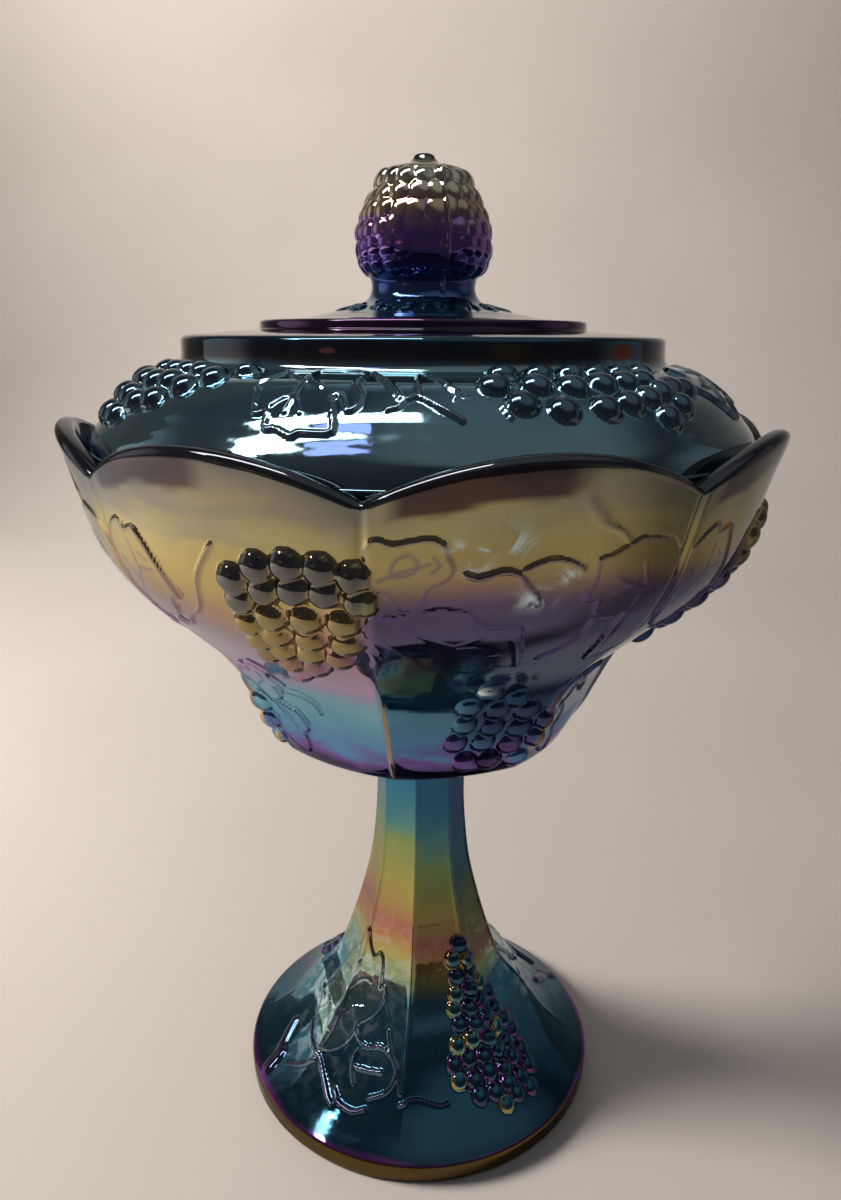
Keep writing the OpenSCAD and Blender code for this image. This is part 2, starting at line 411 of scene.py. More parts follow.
def bowl_shade(row, panel, high, grape, leaf, below, angle):
    """How dark the film is painted, all of it painted shade: zones on some panels, mostly the right-hand
    ones, dark leaves, shaded grapes, and dark reflections painted along and under the lip.
    """
    # painted shade in zones on the panels where the film reaches higher, mostly the right-hand ones
    shade_zones = 0.38 * zone(row, 4, 20, 62, 72) + 0.4 * zone(row, 42, 50, 66, 76)
    shade_zones = high * (shade_zones + 0.62 * ramp(panel, 0.3, 0.6) * zone(row, 4, 14, 50, 60))
    # painted dark reflection in a band under the lip on the other panels
    shade_zones = shade_zones + 0.28 * ramp(row, 79, 87) * (1 - high)
    shade = np.maximum(0.5 * leaf, shade_zones)
    shade = np.maximum(shade, 0.45 * (grape > 0) * ramp(row, 40, 48))
    # painted dark reflection in smears just under the lip
    edge = 6.6 + 1.1 * np.sin(np.radians(angle * 9)) + 0.5 * np.sin(np.radians(angle * 31))
    lip_dark_reflection = (1 - ramp(below, edge - 0.8, edge + 0.5)) * zone(panel % 1, 0.04, 0.12, 0.5, 0.64)
    return np.maximum(shade, lip_dark_reflection * by_panel(panel, [1, 0.9, 0.6, 0, 0.7, 0.4, 0.6, 0.9]))


# places by the tendrils where a pale reflection is painted on the bowl's film as glints: angle, run, size
GLINT_SPOTS = [(8, 79.5, 3.4), (6.4, 76, 2.4), (14.6, 68, 3), (4.4, 78.6, 2.4), (19, 72.6, 2),
          (13, 31, 3), (11, 80, 3)]


def make_bowl():
    angle = columns(1080)
    outside, relief, crease, ridge = bowl_wall(angle)
    lip, inner = bowl_lip(angle)
    cup_line, _ = smooth_line([(77, 183.4), (74.6, 171), (69.6, 161.6), (62, 152.8), (53.2, 143.6),
                               (45, 133.5), (39, 123), (34, 117.5), (24, 114.2), (6, 113.5)], 3.0)
    cup = sweep(cup_line, angle[::3])
    foot_line, _ = smooth_line([(13, 107.6), (22, 107.9), (33, 108.9), (38.4, 110), (40.4, 111.4)], 1.2)
    foot = sweep(foot_line, angle, 0.35, crease[0])

    row = relief.run[:, None]
    panel = ((angle[None, :] - crease) % 360) / PITCH
    high = by_panel(panel, [1, 1, 0.6, 0.2, 0.7, 0.3, 0, 0])
    film = bowl_level(row, high)
    # it gathers on the grapes and is thicker round the big cluster; along the low ridge of each crease a
    # yellow-green highlight is painted into it
    grape = relief.all_round(relief.grape)
    gather = ramp(row, 30, 40)
    swell = (0.05 + 0.08 * gather + 0.16 * ramp(row, 56, 68)) * grape - 0.05
    film = film + np.where(grape > 0, swell, 0)
    film = film + (0.035 + 0.01 * (1 - gather)) * relief.all_round(relief.tint)
    film = film - 0.03 * relief.all_round(relief.cord)
    # painted highlight: the film turns yellow-green along the crease ridges low on the cup
    film = film + (0.80 - film) * ramp(ridge, 0.45, 0.8) * (row < 28)
    glow = offset(angle[None, :], -22, 90) / 9
    film = film + 0.13 * np.exp(-glow ** 2 - ((row - 50) / 10) ** 2) * (1 - high)
    # the leaves' painted shade
    leaf = relief.all_round(relief.shade)
    shade = bowl_shade(row, panel, high, grape, leaf, rim_height(angle) - outside[..., 2], angle)
    # painted shade, darker and bluer, on the panels where the film reaches higher, mostly the right-hand
    # ones
    cool_shade = high * (0.1 + 0.7 * zone(row, 20, 28, 64, 74))
    cord = relief.all_round(relief.cord)
    # painted glints: pale reflections painted by the tendrils, on the panels where the film reaches higher
    pale = 0 * film
    for a, r, size in GLINT_SPOTS:
        x, y = relief.away(a, r)
        pale = np.maximum(pale, relief.all_round(np.exp(-(x * x + 2 * y * y) / size ** 2)))
    # painted shade on every band: under the bowl, on the lip, on the inside under the lid, in the cup, and
    # on the wall from bowl_shade; bluish painted shade under the bowl and on the lip
    return build("bowl_pressing", [foot, outside, lip, inner, cup], {
        "film": [0.04, film, 0.99, 0.12, 0.5],
        "cord": [0, cord, 0, 0, 0],
        "shade": [0.7, shade, 0.7, 0.6, 0.4],
        "cool_shade": [0.3, cool_shade, 0.3, 0, 0],
        "pale": [0, pale * high, 0, 0, 0]})


# ------------------------------------------------------------------ pedestal
def pedestal_relief(relief):
    # the grape cluster over the right front corner, point up
    rows = [(58.4, 35.4, 1), (54, 35.4, 2), (49.4, 36, 2), (45, 38, 3), (40.6, 38.6, 4), (36.2, 38, 4),
            (31.8, 37.4, 5), (27.4, 36.6, 6), (23, 36, 6), (18.8, 38.4, 5), (15.4, 40, 3)]
    for row, (run, middle, count) in enumerate(rows):
        wide = 4.7 / np.interp(run, relief.run, relief.radius)
        for k in range(count):
            lift = 0.5 * math.sin(3.1 * k + 1.7 * row)
            relief.dome(middle + math.degrees((k - (count - 1) / 2) * wide), run + lift, *FOOT_GRAPE)
    # the leaf over the left front corner
    relief.plate([(-70, 50), (-63, 53), (-57, 56), (-51.6, 61), (-48, 58), (-44, 55), (-40, 53.6),
                  (-36.4, 55), (-33, 54), (-31, 50), (-30.4, 45.6), (-26.4, 46.6), (-25, 43.6),
                  (-28, 39.4), (-32, 37), (-36.6, 34.4), (-38, 31), (-42, 27), (-49, 24.6), (-58, 25),
                  (-66, 28), (-74, 34), (-76, 42)], 0.45, 0.6, 0.42, 0.65, 0.6)
    for vein in ([(-49.6, 24.6), (-48.4, 30), (-48.8, 36), (-51.4, 42), (-52, 46), (-50.6, 51)],
                 [(-49, 24.8), (-47.8, 30), (-48.2, 36)],
                 [(-51.4, 43.6), (-57, 45.4), (-63, 45.8), (-69, 45)],
                 [(-51.4, 42.6), (-47, 45.8), (-42, 47), (-38, 46.4)], [(-49, 35), (-44, 38), (-37, 39)],
                 [(-50, 30), (-58, 33), (-66, 34)], [(-78, 33.4), (-73, 32.8), (-68, 32.2)]):
        relief.rib(vein, *FOOT_VEIN)
    # vines and tendrils under the leaf
    for vine in ([(-37.6, 33.6), (-34, 31.4), (-28, 30), (-20, 31.4), (-14, 30.2), (-10, 28), (-9, 24.6)],
                 [(-17.4, 35.4), (-15.4, 33), (-12, 29), (-9.6, 26.6), (-7.6, 22)],
                 [(-31, 24.4), (-24, 24.8), (-17, 25.6)], [(-32.4, 28), (-31.4, 24), (-28, 20.8)],
                 [(-66, 26), (-58, 23.6), (-50, 22.6), (-46.6, 21.4), (-43, 19.4), (-39, 17.2),
                  (-36, 15.4), (-33, 14.2)],
                 [(-33, 15.8), (-28, 15), (-24, 15), (-20.4, 16.4)], [(-35, 17.6), (-32.6, 16.4)],
                 [(-20, 19), (-17, 20), (-13.6, 21.4), (-11, 24), (-10, 27)], [(-7.4, 19.2), (-5.6, 19.8)],
                 [(-60, 14), (-54, 17.4), (-50, 21)]):
        relief.rib(vine, 0.55, 0.8)
    relief.rib([(-5, 20.4), (0, 20.6), (8, 18.8), (12, 19)], 0.4, 0.45)
    relief.rib([(-76, 20), (-70, 15), (-66, 13)], 1.6, 0.8)
    relief.rib([(-67, 13.4), (-65.6, 9)], 2.2, 0.9)


def foot_level(z):
    """Level of the pedestal's film by height."""
    return np.interp(z, [0, 4.9, 5.2, 5.9, 7.2, 30, 51, 62, 76, 83, 110],
                     [-0.08, -0.07, 0.04, 0.07, 0.13, 0.27, 0.49, 0.6, 0.71, 0.8, 1.0])


FOOT_EDGE = 5.7           # run at the foot's upper edge
GLINT_PATCH = (-58, 38)    # middle of a pale reflection painted on the leaf: angle, run
GLINT_SIZE = (19, 17)      # its half width and half height in mm


def make_pedestal():
    angle = columns(720)
    line, run = smooth_line([(51.1, 5.4), (45.3, 9.2), (39.6, 13.9), (34.7, 19.7), (30.8, 25.4),
                             (24.8, 32.4), (20.9, 41.6), (17.3, 53.2)], 0.42)
    stem, stem_run = smooth_line([(17.3, 53.2), (14.1, 67), (12.6, 83), (12.6, 97), (13.6, 107),
                                  (14.6, 110)], 1.0)
    line, run = np.concatenate([line, stem[1:]]), np.r_[run, run[-1] + stem_run[1:]]
    z = line[:, 1:]
    share = ramp(line[:, 1], 6, 27)
    wall = sweep(line, angle, share)
    relief = Relief(angle, run + FOOT_EDGE, line[:, 0], 180)
    pedestal_relief(relief)
    away = np.radians(offset(angle, CREASE, PITCH))[None, :] * line[:, :1]
    ridge = (share * (1 - ramp(line[:, 1], 60, 100)))[:, None] * np.exp(-(away / 0.6) ** 2)
    wall = wall + outward(wall) * (relief.all_round(relief.height) + 0.3 * ridge)[..., None]
    ring_line, _ = smooth_line([(46.6, 1.5), (47.4, 0.3), (49, 0.02), (50.8, 0.2), (51.45, 1),
                                (51.5, 2.4), (51.5, 4.2), (51.4, 4.9)], 0.45)
    ring_line[:, 1] = np.maximum(ring_line[:, 1], 0)
    ring = sweep(ring_line, angle)
    hollow_line, _ = smooth_line([(3, 46.6), (5, 45), (11.5, 38), (18.6, 29), (26, 20), (34, 12),
                                  (42.5, 5), (46.2, 2.2)], 1.5)
    hollow = sweep(hollow_line, angle[::3])

    # the film goes by height, varies from facet to facet, and turns on the leaves and grapes
    panel = (((angle - CREASE) % 360) / PITCH)[None, :]
    tone = by_panel(panel, [0.05, 0.13, 0.04, -0.02, 0.05, 0.02, -0.03, 0])
    film = foot_level(z) + tone * ramp(z, 30, 45)
    # the leaf's mark from its plate; here it only finds the leaf, whose film turns greener
    leaf = relief.all_round(relief.shade)
    film = film + leaf * np.maximum(0.35 - film, 0)
    grape = relief.all_round(relief.grape)
    berry = np.where(relief.all_round(relief.tint) > 0.5, 0.45, 0.045)
    film = np.where(grape > 0, berry + (0.17 - berry) * ramp(grape, 0.45, 1.0), film)
    cord = relief.all_round(relief.cord)
    # painted shade on the facets turned away from the key light: darker, and on some bluer
    shade = by_panel(panel, [0.36, 0.8, 0.3, 0, 0.1, 0.1, 0, 0]) * ramp(z, 24, 50)
    cool_shade = by_panel(panel, [0.12, 0.7, 0.3, 0, 0, 0, 0, 0]) * ramp(z, 10, 40)
    # painted glint: a pale reflection painted on the leaf
    x, y = relief.away(*GLINT_PATCH)
    wide, tall = GLINT_SIZE
    pale = relief.all_round(np.exp(-(x / wide) ** 2 - (y / tall) ** 2))
    # painted shade also in the hollow under the foot; the ring is darker
    return build("pedestal_pressing", [hollow, ring, wall], {
        "film": [0.15, foot_level(ring_line[:, 1:]), film],
        "cord": [0, 0, cord],
        "shade": [0.7, 0.3, shade],
        "cool_shade": [0, 0, cool_shade],
        "pale": [0, 0, pale]})


# ------------------------------------------------------------------ lid
def shoulder_relief(relief):
    # right cluster: three staggered rows and a few strays
    for a, r in [(14, 28.6), (21, 28.6), (27.6, 28.6), (33.6, 28.4), (39.6, 28.2), (46, 28.2),
                 (11.2, 22.6), (18.2, 22.6), (24.6, 22), (30.8, 22.8), (36.2, 23.2), (41.2, 23.8),
                 (14.6, 17.4), (20.6, 15.6), (27.8, 15.8), (33, 16.8), (38, 18), (42.4, 19.6),
                 (39.4, 12.6), (44.6, 15.4), (46.8, 20.4), (50.4, 19.8)]:
        relief.dome(a, r, *LID_GRAPE)
    # left cluster, with its point to the right
    for a, r in [(-34.4, 28.8), (-39, 24.2), (-44, 20.4), (-49, 16), (-54.2, 14.6), (-59, 10.6),
                 (-46.4, 27.4), (-52.4, 27.8), (-58.4, 27.4), (-64.4, 27), (-50.4, 21.8), (-56.6, 21.4),
                 (-63, 21.4), (-69, 22), (-60.4, 16.2), (-66.4, 16.4), (-65, 10.8)]:
        relief.dome(a, r, *LID_GRAPE)
    # leaf with its stalk and veins
    relief.plate([(-24.8, 29), (-25.4, 26), (-27.6, 22), (-26.4, 20.4), (-25.2, 16.4), (-24.4, 14.2),
                  (-22.6, 14.6), (-21.8, 11), (-20.4, 11.2), (-17.6, 9.6), (-16.8, 10.6), (-12.3, 10.8),
                  (-12.6, 14.6), (-13.6, 18), (-13, 19.8), (-12, 19), (-10.5, 15.5), (-9.2, 17),
                  (-9.2, 20), (-10.4, 22.6), (-10, 25), (-9.6, 29), (-14, 30), (-20, 30)], 0.25, 0.4,
                 0.45, 0.75)
    for vein in ([(-18.8, 30), (-19.3, 24), (-19.5, 19), (-19.8, 14.6)],
                 [(-24, 27.6), (-22, 25.6), (-19.4, 24.4)], [(-19.3, 24.2), (-17.6, 23.4), (-15.8, 21.8)],
                 [(-22.6, 16.2), (-21, 18.6), (-19.6, 19)], [(-19.5, 19), (-18.4, 17), (-17.4, 14.6)]):
        relief.rib(vein, 0.45, 0.7)
    # vine with its tendrils
    relief.rib([(-8.6, 28.4), (-6, 24.6), (-4, 20.6), (-2.6, 18.2), (-1, 19.6), (0.4, 18.6), (2.6, 16.4),
                (5.6, 13.4)], 0.5, 0.85)
    for tendril in ([(-2.6, 18.2), (-3.4, 16.6), (-5, 16)], [(1, 27.6), (3, 24.6), (5, 21), (6.4, 19.8)],
                    [(5.2, 21.4), (4.8, 19)], [(-0.6, 27.6), (-0.8, 23), (-0.4, 19.6)],
                    [(11.4, 17), (12.2, 13.8)]):
        relief.rib(tendril, 0.42, 0.65)
    # leaf on the far right
    relief.plate([(55, 20), (58, 23), (60, 28), (64, 29.4), (70, 30), (76, 30), (84, 27), (80, 22),
                  (76, 19), (74, 13), (69, 15), (65, 10), (61, 13), (58, 17)], 0.3, 0.4, 0.5, 0.85)
    for vein in ([(81, 28), (73, 23), (66, 18), (62, 14)], [(73, 23), (66, 26), (60, 25.6)],
                 [(73, 23), (74, 17)], [(66, 22), (63, 19), (61, 20)]):
        relief.rib(vein, 0.5, 0.8)
    relief.rib([(84, 27), (90, 24), (95, 20), (99, 23), (103, 28)], 0.5, 0.85)


def knob_relief(relief):
    """A net of soft beads that sinks into the glass low down beside the seam."""
    for k, run in enumerate(np.arange(9, 32, 4.1)):
        radius = np.interp(run, relief.run, relief.radius)
        count = max(4, round(math.pi * radius / 4.3))
        for j in range(count):
            a = (j + 0.5 * (k % 2)) * 180 / count + 34
            away = abs(offset(a, 2, 180))
            kept = max(ramp(run, 17, 27), ramp(away, 12, 44))
            lift = 0.6 * math.sin(5.3 * j + 2.1 * k)
            relief.dome(a + 2 * math.sin(3.7 * j), run + lift, 2.6, 0.12 + 0.75 * kept, power=0.7)


def lid_level(z):
    """Level of the lid's film: 0 near its lower edge, 1 at the top of the knob."""
    return (z - 184) / 70


def arc(r, z, radius, degrees):
    """Points of a rounding about [r, z], from level outwards to straight up."""
    return [(r + radius * math.cos(a), z + radius * math.sin(a)) for a in np.radians(degrees)]


def collar_line():
    """The upright collar, the flat over it and the step of the raised disc."""
    line = [(58.7, 208.4), (58.65, 209.8), (58.6, 211.2)]
    line += arc(57.2, 211.2, 1.4, [15, 30, 45, 60, 75, 90])
    line += [(56, 212.75), (52, 213.1), (46, 213.6), (42, 213.9), (40.4, 213.95), (40.1, 214.2),
             (40.05, 215.2)]
    return np.array(line + arc(39.25, 215.3, 0.8, [15, 40, 65, 90]))


def make_shoulder(angle):
    """The lid's sloping shoulder: points, heights above the foot and relief."""
    line, run = smooth_line([(80.5, 187.2), (79.8, 191), (77.4, 194.3), (75.5, 196.5), (73.7, 198.6),
                             (71.2, 200.8), (66.4, 204), (62.6, 205.3), (60, 206), (58.9, 207.2)], 0.42)
    points = sweep(line, angle)
    relief = Relief(angle, run + 0.2, line[:, 0], 180)
    shoulder_relief(relief)
    proud = relief.all_round(relief.height) * (1 - ramp(line[:, 1], 205.4, 206.6))[:, None]
    return points + outward(points) * proud[..., None], line[:, 1:], relief


def make_knob(angle):
    """The knob on its flare: points, heights above the foot, relief and mould seam."""
    line, run = smooth_line([(24.3, 217.7), (19.3, 218.8), (15.6, 220), (13.6, 221.4), (12.7, 223.6),
                             (13.1, 226), (14.6, 228.1), (15.6, 230.4), (16, 233.6), (15.8, 236.6),
                             (15, 239.4), (14.2, 241.6), (13.1, 243.8), (11.8, 246.2), (10.6, 248.8),
                             (9.4, 250.2), (7, 250.9), (4.4, 251.4), (3, 252.4), (2.2, 253.5),
                             (0.8, 253.9)], 0.4)
    points = sweep(line, angle)
    relief = Relief(angle, run - np.interp(226, line[:, 1], run) + 6, line[:, 0], 180)
    knob_relief(relief)
    # crinkled petals on the flare
    for k in range(22):
        a = 8.2 * k + 3 * math.sin(2.3 * k)
        r = -4.6 + 1.2 * math.sin(1.9 * k)
        relief.rib([(a, r - 1.6), (a + 2.6, r), (a + 1.2, r + 1.7)], 0.6, 0.5)
    z = line[:, 1:]
    seam = np.exp(-(np.radians(offset(angle, 20, 180))[None, :] * line[:, :1] / 0.4) ** 2)
    seam = seam * zone(z, 221, 224, 249, 250.5)
    proud = relief.all_round(relief.height) * zone(z, 217.7, 218.6, 249.8, 251) + 0.6 * seam
    return points + outward(points) * proud[..., None], z, relief, seam


def make_lid():
    angle = columns(1080)
    dome_line, _ = smooth_line([(4, 208.2), (30, 208.2), (48, 207.6), (53.4, 205.2), (57, 202.4),
                                (62.5, 200.6), (67.5, 197.8), (71.4, 194), (74.6, 189.6), (76, 185.4)], 2.0)
    dome = sweep(dome_line, angle[::3])
    skirt_line, _ = smooth_line([(76.4, 184.8), (77.4, 184.32), (79.4, 184.4), (80.3, 185.4),
                                 (80.5, 187.2)], 0.5)
    skirt = sweep(skirt_line, angle)
    shoulder, shoulder_z, relief = make_shoulder(angle)
    collar_z = collar_line()[:, 1:]
    collar = sweep(collar_line(), angle)
    near_line, _ = smooth_line([(38.4, 216.13), (34, 216.3), (30.3, 216.6), (24.3, 217.7)], 0.5)
    near = sweep(near_line, angle[::3])
    knob, knob_z, beads, seam = make_knob(angle[::3])

    # the film goes by height alone, and turns a little on the grapes and beads
    grape = relief.all_round(relief.grape)
    tint = 0.03 * relief.all_round(relief.tint) * (grape > 0)
    film = lid_level(shoulder_z) + tint - 0.10 * (grape > 0) * (1 - grape)
    knob_film = lid_level(knob_z) + 0.06 * beads.all_round(beads.grape)
    knob_cord = np.maximum(beads.all_round(beads.cord), seam)
    # painted shade: the lid's inside, its lower edge, its grapes, the collar as a painted dark reflection,
    # and the flat round the knob
    return build("lid_pressing", [dome, skirt, shoulder, collar, near, knob], {
        "film": [0.12, lid_level(skirt_line[:, 1:]), film, lid_level(collar_z),
                 lid_level(near_line[:, 1:]), knob_film],
        "cord": [0, 0, relief.all_round(relief.cord), 0, 0, knob_cord],
        "shade": [0.8, 0.3, 0.6 * ramp(grape, 0.1, 0.5), 0.85 * ramp(collar_z, 206, 209), 0.6, 0]})


# ------------------------------------------------------------------ glass
class Nodes:
    """Small helper that adds nodes and links to one tree."""

    def __init__(self, tree):
        self.tree = tree
        self.tree.nodes.clear()

    def add(self, kind, **settings):
        node = self.tree.nodes.new(kind)
        for key, value in settings.items():
            setattr(node, key, value)
        return node

    def join(self, source, socket):
        self.tree.links.new(source, socket)

    def feed(self, socket, value):
        if isinstance(value, (int, float)):
            socket.default_value = value
        elif isinstance(value, tuple):
            socket.default_value = (*value, 1) if socket.type == "RGBA" else value
        else:
            self.join(value, socket)

    def math(self, operation, a, b=0.0, clamp=False):
        node = self.add("ShaderNodeMath", operation=operation, use_clamp=clamp)
        self.feed(node.inputs[0], a)
        self.feed(node.inputs[1], b)
        return node.outputs[0]

    def fit(self, value, low, high, to_low=0.0, to_high=1.0):
        node = self.add("ShaderNodeMapRange", interpolation_type="SMOOTHSTEP")
        self.join(value, node.inputs["Value"])
        for key, v in zip(("From Min", "From Max", "To Min", "To Max"), (low, high, to_low, to_high)):
            node.inputs[key].default_value = v
        return node.outputs[0]

    def noise(self, vector, scale, detail=3.0, rough=0.5, twist=0.0):
        node = self.add("ShaderNodeTexNoise")
        self.join(vector, node.inputs["Vector"])
        node.inputs["Scale"].default_value = scale
        node.inputs["Detail"].default_value = detail
        node.inputs["Roughness"].default_value = rough
        node.inputs["Distortion"].default_value = twist
        return node.outputs["Fac"]

    def stretch(self, vector, x, y, z):
        node = self.add("ShaderNodeMapping")
        self.join(vector, node.inputs["Vector"])
        node.inputs["Scale"].default_value = (x, y, z)
        return node.outputs[0]

    def mark(self, name):
        return self.add("ShaderNodeAttribute", attribute_name=name).outputs["Fac"]

    def ramp(self, value, stops):
        node = self.add("ShaderNodeValToRGB")
        self.join(value, node.inputs["Fac"])
        while len(node.color_ramp.elements) < len(stops):
            node.color_ramp.elements.new(0.5)
        for element, (at, colour) in zip(node.color_ramp.elements, sorted(stops)):
            element.position = at
            element.color = (*colour, 1)
        return node.outputs["Color"]

    def mix(self, factor, a, b, kind="MIX"):
        node = self.add("ShaderNodeMix", data_type="RGBA", blend_type=kind)
        for key, value in (("Factor", factor), ("A", a), ("B", b)):
            self.feed([s for s in node.inputs if s.name == key and s.enabled][0], value)
        return [s for s in node.outputs if s.enabled][0]


# what the film's colour is multiplied with in dull patches and where shade is painted, plain or bluish, and
# the colour mixed in for painted pale glints
DULL_TINT, SHADE_TINT, COOL_SHADE_TINT = (0.62, 0.66, 0.70), (0.22, 0.16, 0.25), (0.40, 0.72, 0.92)
GLINT_COLOUR = (0.66, 0.84, 0.86)


def glass(name, stops, drift, edge, sheen):
    """Dark pressed glass under an iridescent film. stops give the film's colour by its thickness,
    drift is how far the thickness wanders, and edge is the colour on ribs and leaf rims."""
    material = bpy.data.materials.new(name)
    material.use_nodes = True
    m = Nodes(material.node_tree)
    place = m.add("ShaderNodeTexCoord").outputs["Object"]
    # the thickness of the film wanders broadly and in fine streaks
    broad = m.noise(m.stretch(place, 1, 1, 0.8), 17, 2, 0.45, 0.8)
    streak = m.noise(m.stretch(place, 0.5, 0.5, 1.5), 60, 5, 0.62, 1.2)
    wobble = m.math("MULTIPLY", m.math("SUBTRACT", broad, 0.5), drift)
    fine = m.math("MULTIPLY", m.math("SUBTRACT", streak, 0.5), drift * 0.9)
    level = m.math("ADD", m.math("ADD", m.mark("film"), wobble), fine, clamp=True)
    colour = m.ramp(level, stops)
    # dull patches, painted shade both dark and bluish, painted pale glints, ribs
    patch = m.fit(m.noise(place, 38, 3, 0.5, 1.0), 0.3, 0.7, 0.0, 0.35)
    colour = m.mix(patch, colour, DULL_TINT, "MULTIPLY")
    # painted shade, then painted bluish shade
    colour = m.mix(m.mark("shade"), colour, SHADE_TINT, "MULTIPLY")
    colour = m.mix(m.mark("cool_shade"), colour, COOL_SHADE_TINT, "MULTIPLY")
    # painted glints: pale reflections where the mesh's pale mark is set
    glint_noise = m.fit(m.noise(place, 150, 4, 0.6, 1.5), 0.47, 0.60)
    colour = m.mix(m.math("MULTIPLY", m.mark("pale"), glint_noise), colour, GLINT_COLOUR)
    colour = m.mix(m.math("MULTIPLY", m.mark("cord"), 0.5), colour, edge)
    shader = m.add("ShaderNodeBsdfPrincipled")
    m.join(colour, shader.inputs["Base Color"])
    shader.inputs["Metallic"].default_value = 0.92
    rough = m.fit(m.noise(place, 220, 4, 0.6), 0.3, 0.75, 0.04, 0.10)
    m.join(rough, shader.inputs["Roughness"])
    shader.inputs["IOR"].default_value = 1.52
    shader.inputs["Specular Tint"].default_value = (0.55, 0.6, 0.65, 1)
    shader.inputs["Coat Weight"].default_value = sheen
    shader.inputs["Coat Roughness"].default_value = 0.03
    shader.inputs["Coat IOR"].default_value = 1.5
    ripple = m.add("ShaderNodeBump")
    ripple.inputs["Strength"].default_value = 0.14
    ripple.inputs["Distance"].default_value = 0.0006
    m.join(m.noise(place, 120, 3, 0.5), ripple.inputs["Height"])
    m.join(ripple.outputs[0], shader.inputs["Normal"])
    out = m.add("ShaderNodeOutputMaterial")
    m.join(shader.outputs[0], out.inputs[0])
    return material


# colours of the films, from thin (0) to thick (1)
BOWL_FILM = [(0.0, (0.04, 0.03, 0.08)), (0.05, (0.20, 0.10, 0.36)), (0.09, (0.12, 0.28, 0.55)),
             (0.20, (0.16, 0.44, 0.58)), (0.30, (0.26, 0.50, 0.62)), (0.345, (0.42, 0.42, 0.61)),
             (0.39, (0.62, 0.42, 0.62)), (0.47, (0.56, 0.35, 0.50)), (0.55, (0.42, 0.25, 0.32)),
             (0.62, (0.50, 0.30, 0.22)), (0.68, (0.54, 0.39, 0.19)), (0.75, (0.57, 0.45, 0.17)),
             (0.84, (0.54, 0.46, 0.20)), (0.91, (0.36, 0.33, 0.23)), (0.96, (0.27, 0.27, 0.23)),
             (1.0, (0.25, 0.26, 0.23))]
# on the lid, painted highlights: the teal line at the collar's rounded top edge and the magenta line at the
# disc's step; the pale gold near the knob's top is the film's colour brightened into a painted highlight
LID_FILM = [(0.0, (0.10, 0.18, 0.20)), (0.10, (0.20, 0.33, 0.35)), (0.22, (0.17, 0.31, 0.37)),
            (0.31, (0.24, 0.46, 0.54)), (0.35, (0.22, 0.20, 0.16)), (0.385, (0.14, 0.20, 0.18)),
            (0.405, (0.10, 0.36, 0.40)), (0.42, (0.10, 0.08, 0.10)), (0.445, (0.34, 0.13, 0.30)),
            (0.475, (0.08, 0.22, 0.26)), (0.505, (0.06, 0.26, 0.30)), (0.54, (0.06, 0.12, 0.30)),
            (0.60, (0.07, 0.12, 0.42)), (0.68, (0.13, 0.10, 0.44)), (0.78, (0.36, 0.16, 0.52)),
            (0.86, (0.66, 0.44, 0.26)), (0.95, (0.82, 0.74, 0.52)), (1.0, (0.03, 0.03, 0.04))]
FOOT_FILM = [(0.0, (0.16, 0.10, 0.025)), (0.02, (0.18, 0.09, 0.03)), (0.035, (0.34, 0.06, 0.24)),
             (0.06, (0.20, 0.07, 0.30)), (0.085, (0.025, 0.07, 0.11)), (0.18, (0.04, 0.14, 0.20)),
             (0.28, (0.10, 0.30, 0.36)), (0.34, (0.30, 0.42, 0.24)), (0.39, (0.50, 0.46, 0.15)),
             (0.44, (0.54, 0.28, 0.11)), (0.49, (0.48, 0.19, 0.14)), (0.54, (0.49, 0.31, 0.11)),
             (0.61, (0.44, 0.41, 0.11)), (0.70, (0.26, 0.38, 0.14)), (0.76, (0.12, 0.32, 0.30)),
             (0.84, (0.05, 0.25, 0.38)), (1.0, (0.05, 0.18, 0.38))]


# ------------------------------------------------------------------ stage
FLOOR_HALF = 2.4          # half the floor's width, and how far it comes forwards
MIRRORED_FROM = -0.44     # in front of this the glass doesn't mirror the floor
BEND_Y, BEND_R = 0.75, 0.5      # where the floor starts to turn up, and how tightly


def matte():
    material = bpy.data.materials.new("floor_matte")
    material.use_nodes = True
    m = Nodes(material.node_tree)
    place = m.add("ShaderNodeTexCoord").outputs["Object"]
    colour = m.ramp(m.noise(place, 3, 2), [(0.3, (0.62, 0.56, 0.51)), (0.7, (0.68, 0.62, 0.57))])
    shader = m.add("ShaderNodeBsdfPrincipled")
    m.join(colour, shader.inputs["Base Color"])
    shader.inputs["Roughness"].default_value = 0.9
    shader.inputs["Specular IOR Level"].default_value = 0.1
    out = m.add("ShaderNodeOutputMaterial")
    m.join(shader.outputs[0], out.inputs[0])
    return material


def make_floor(name, profile, material, mirrored):
    """A strip of the pale floor along the (depth, height) profile."""
    xs = np.linspace(-FLOOR_HALF, FLOOR_HALF, 28)
    verts = [(x, y, z) for x in xs for y, z in profile]
    rows = len(profile)
    faces = [(a, a + rows, a + rows + 1, a + 1) for i in range(len(xs) - 1)
             for a in range(i * rows, i * rows + rows - 1)]
    mesh = bpy.data.meshes.new(name)
    mesh.from_pydata(verts, [], faces)
    mesh.polygons.foreach_set("use_smooth", np.ones(len(faces), bool))
    mesh.materials.append(material)
    obj = bpy.data.objects.new(name, mesh)
    obj.visible_glossy = mirrored
    bpy.context.scene.collection.objects.link(obj)


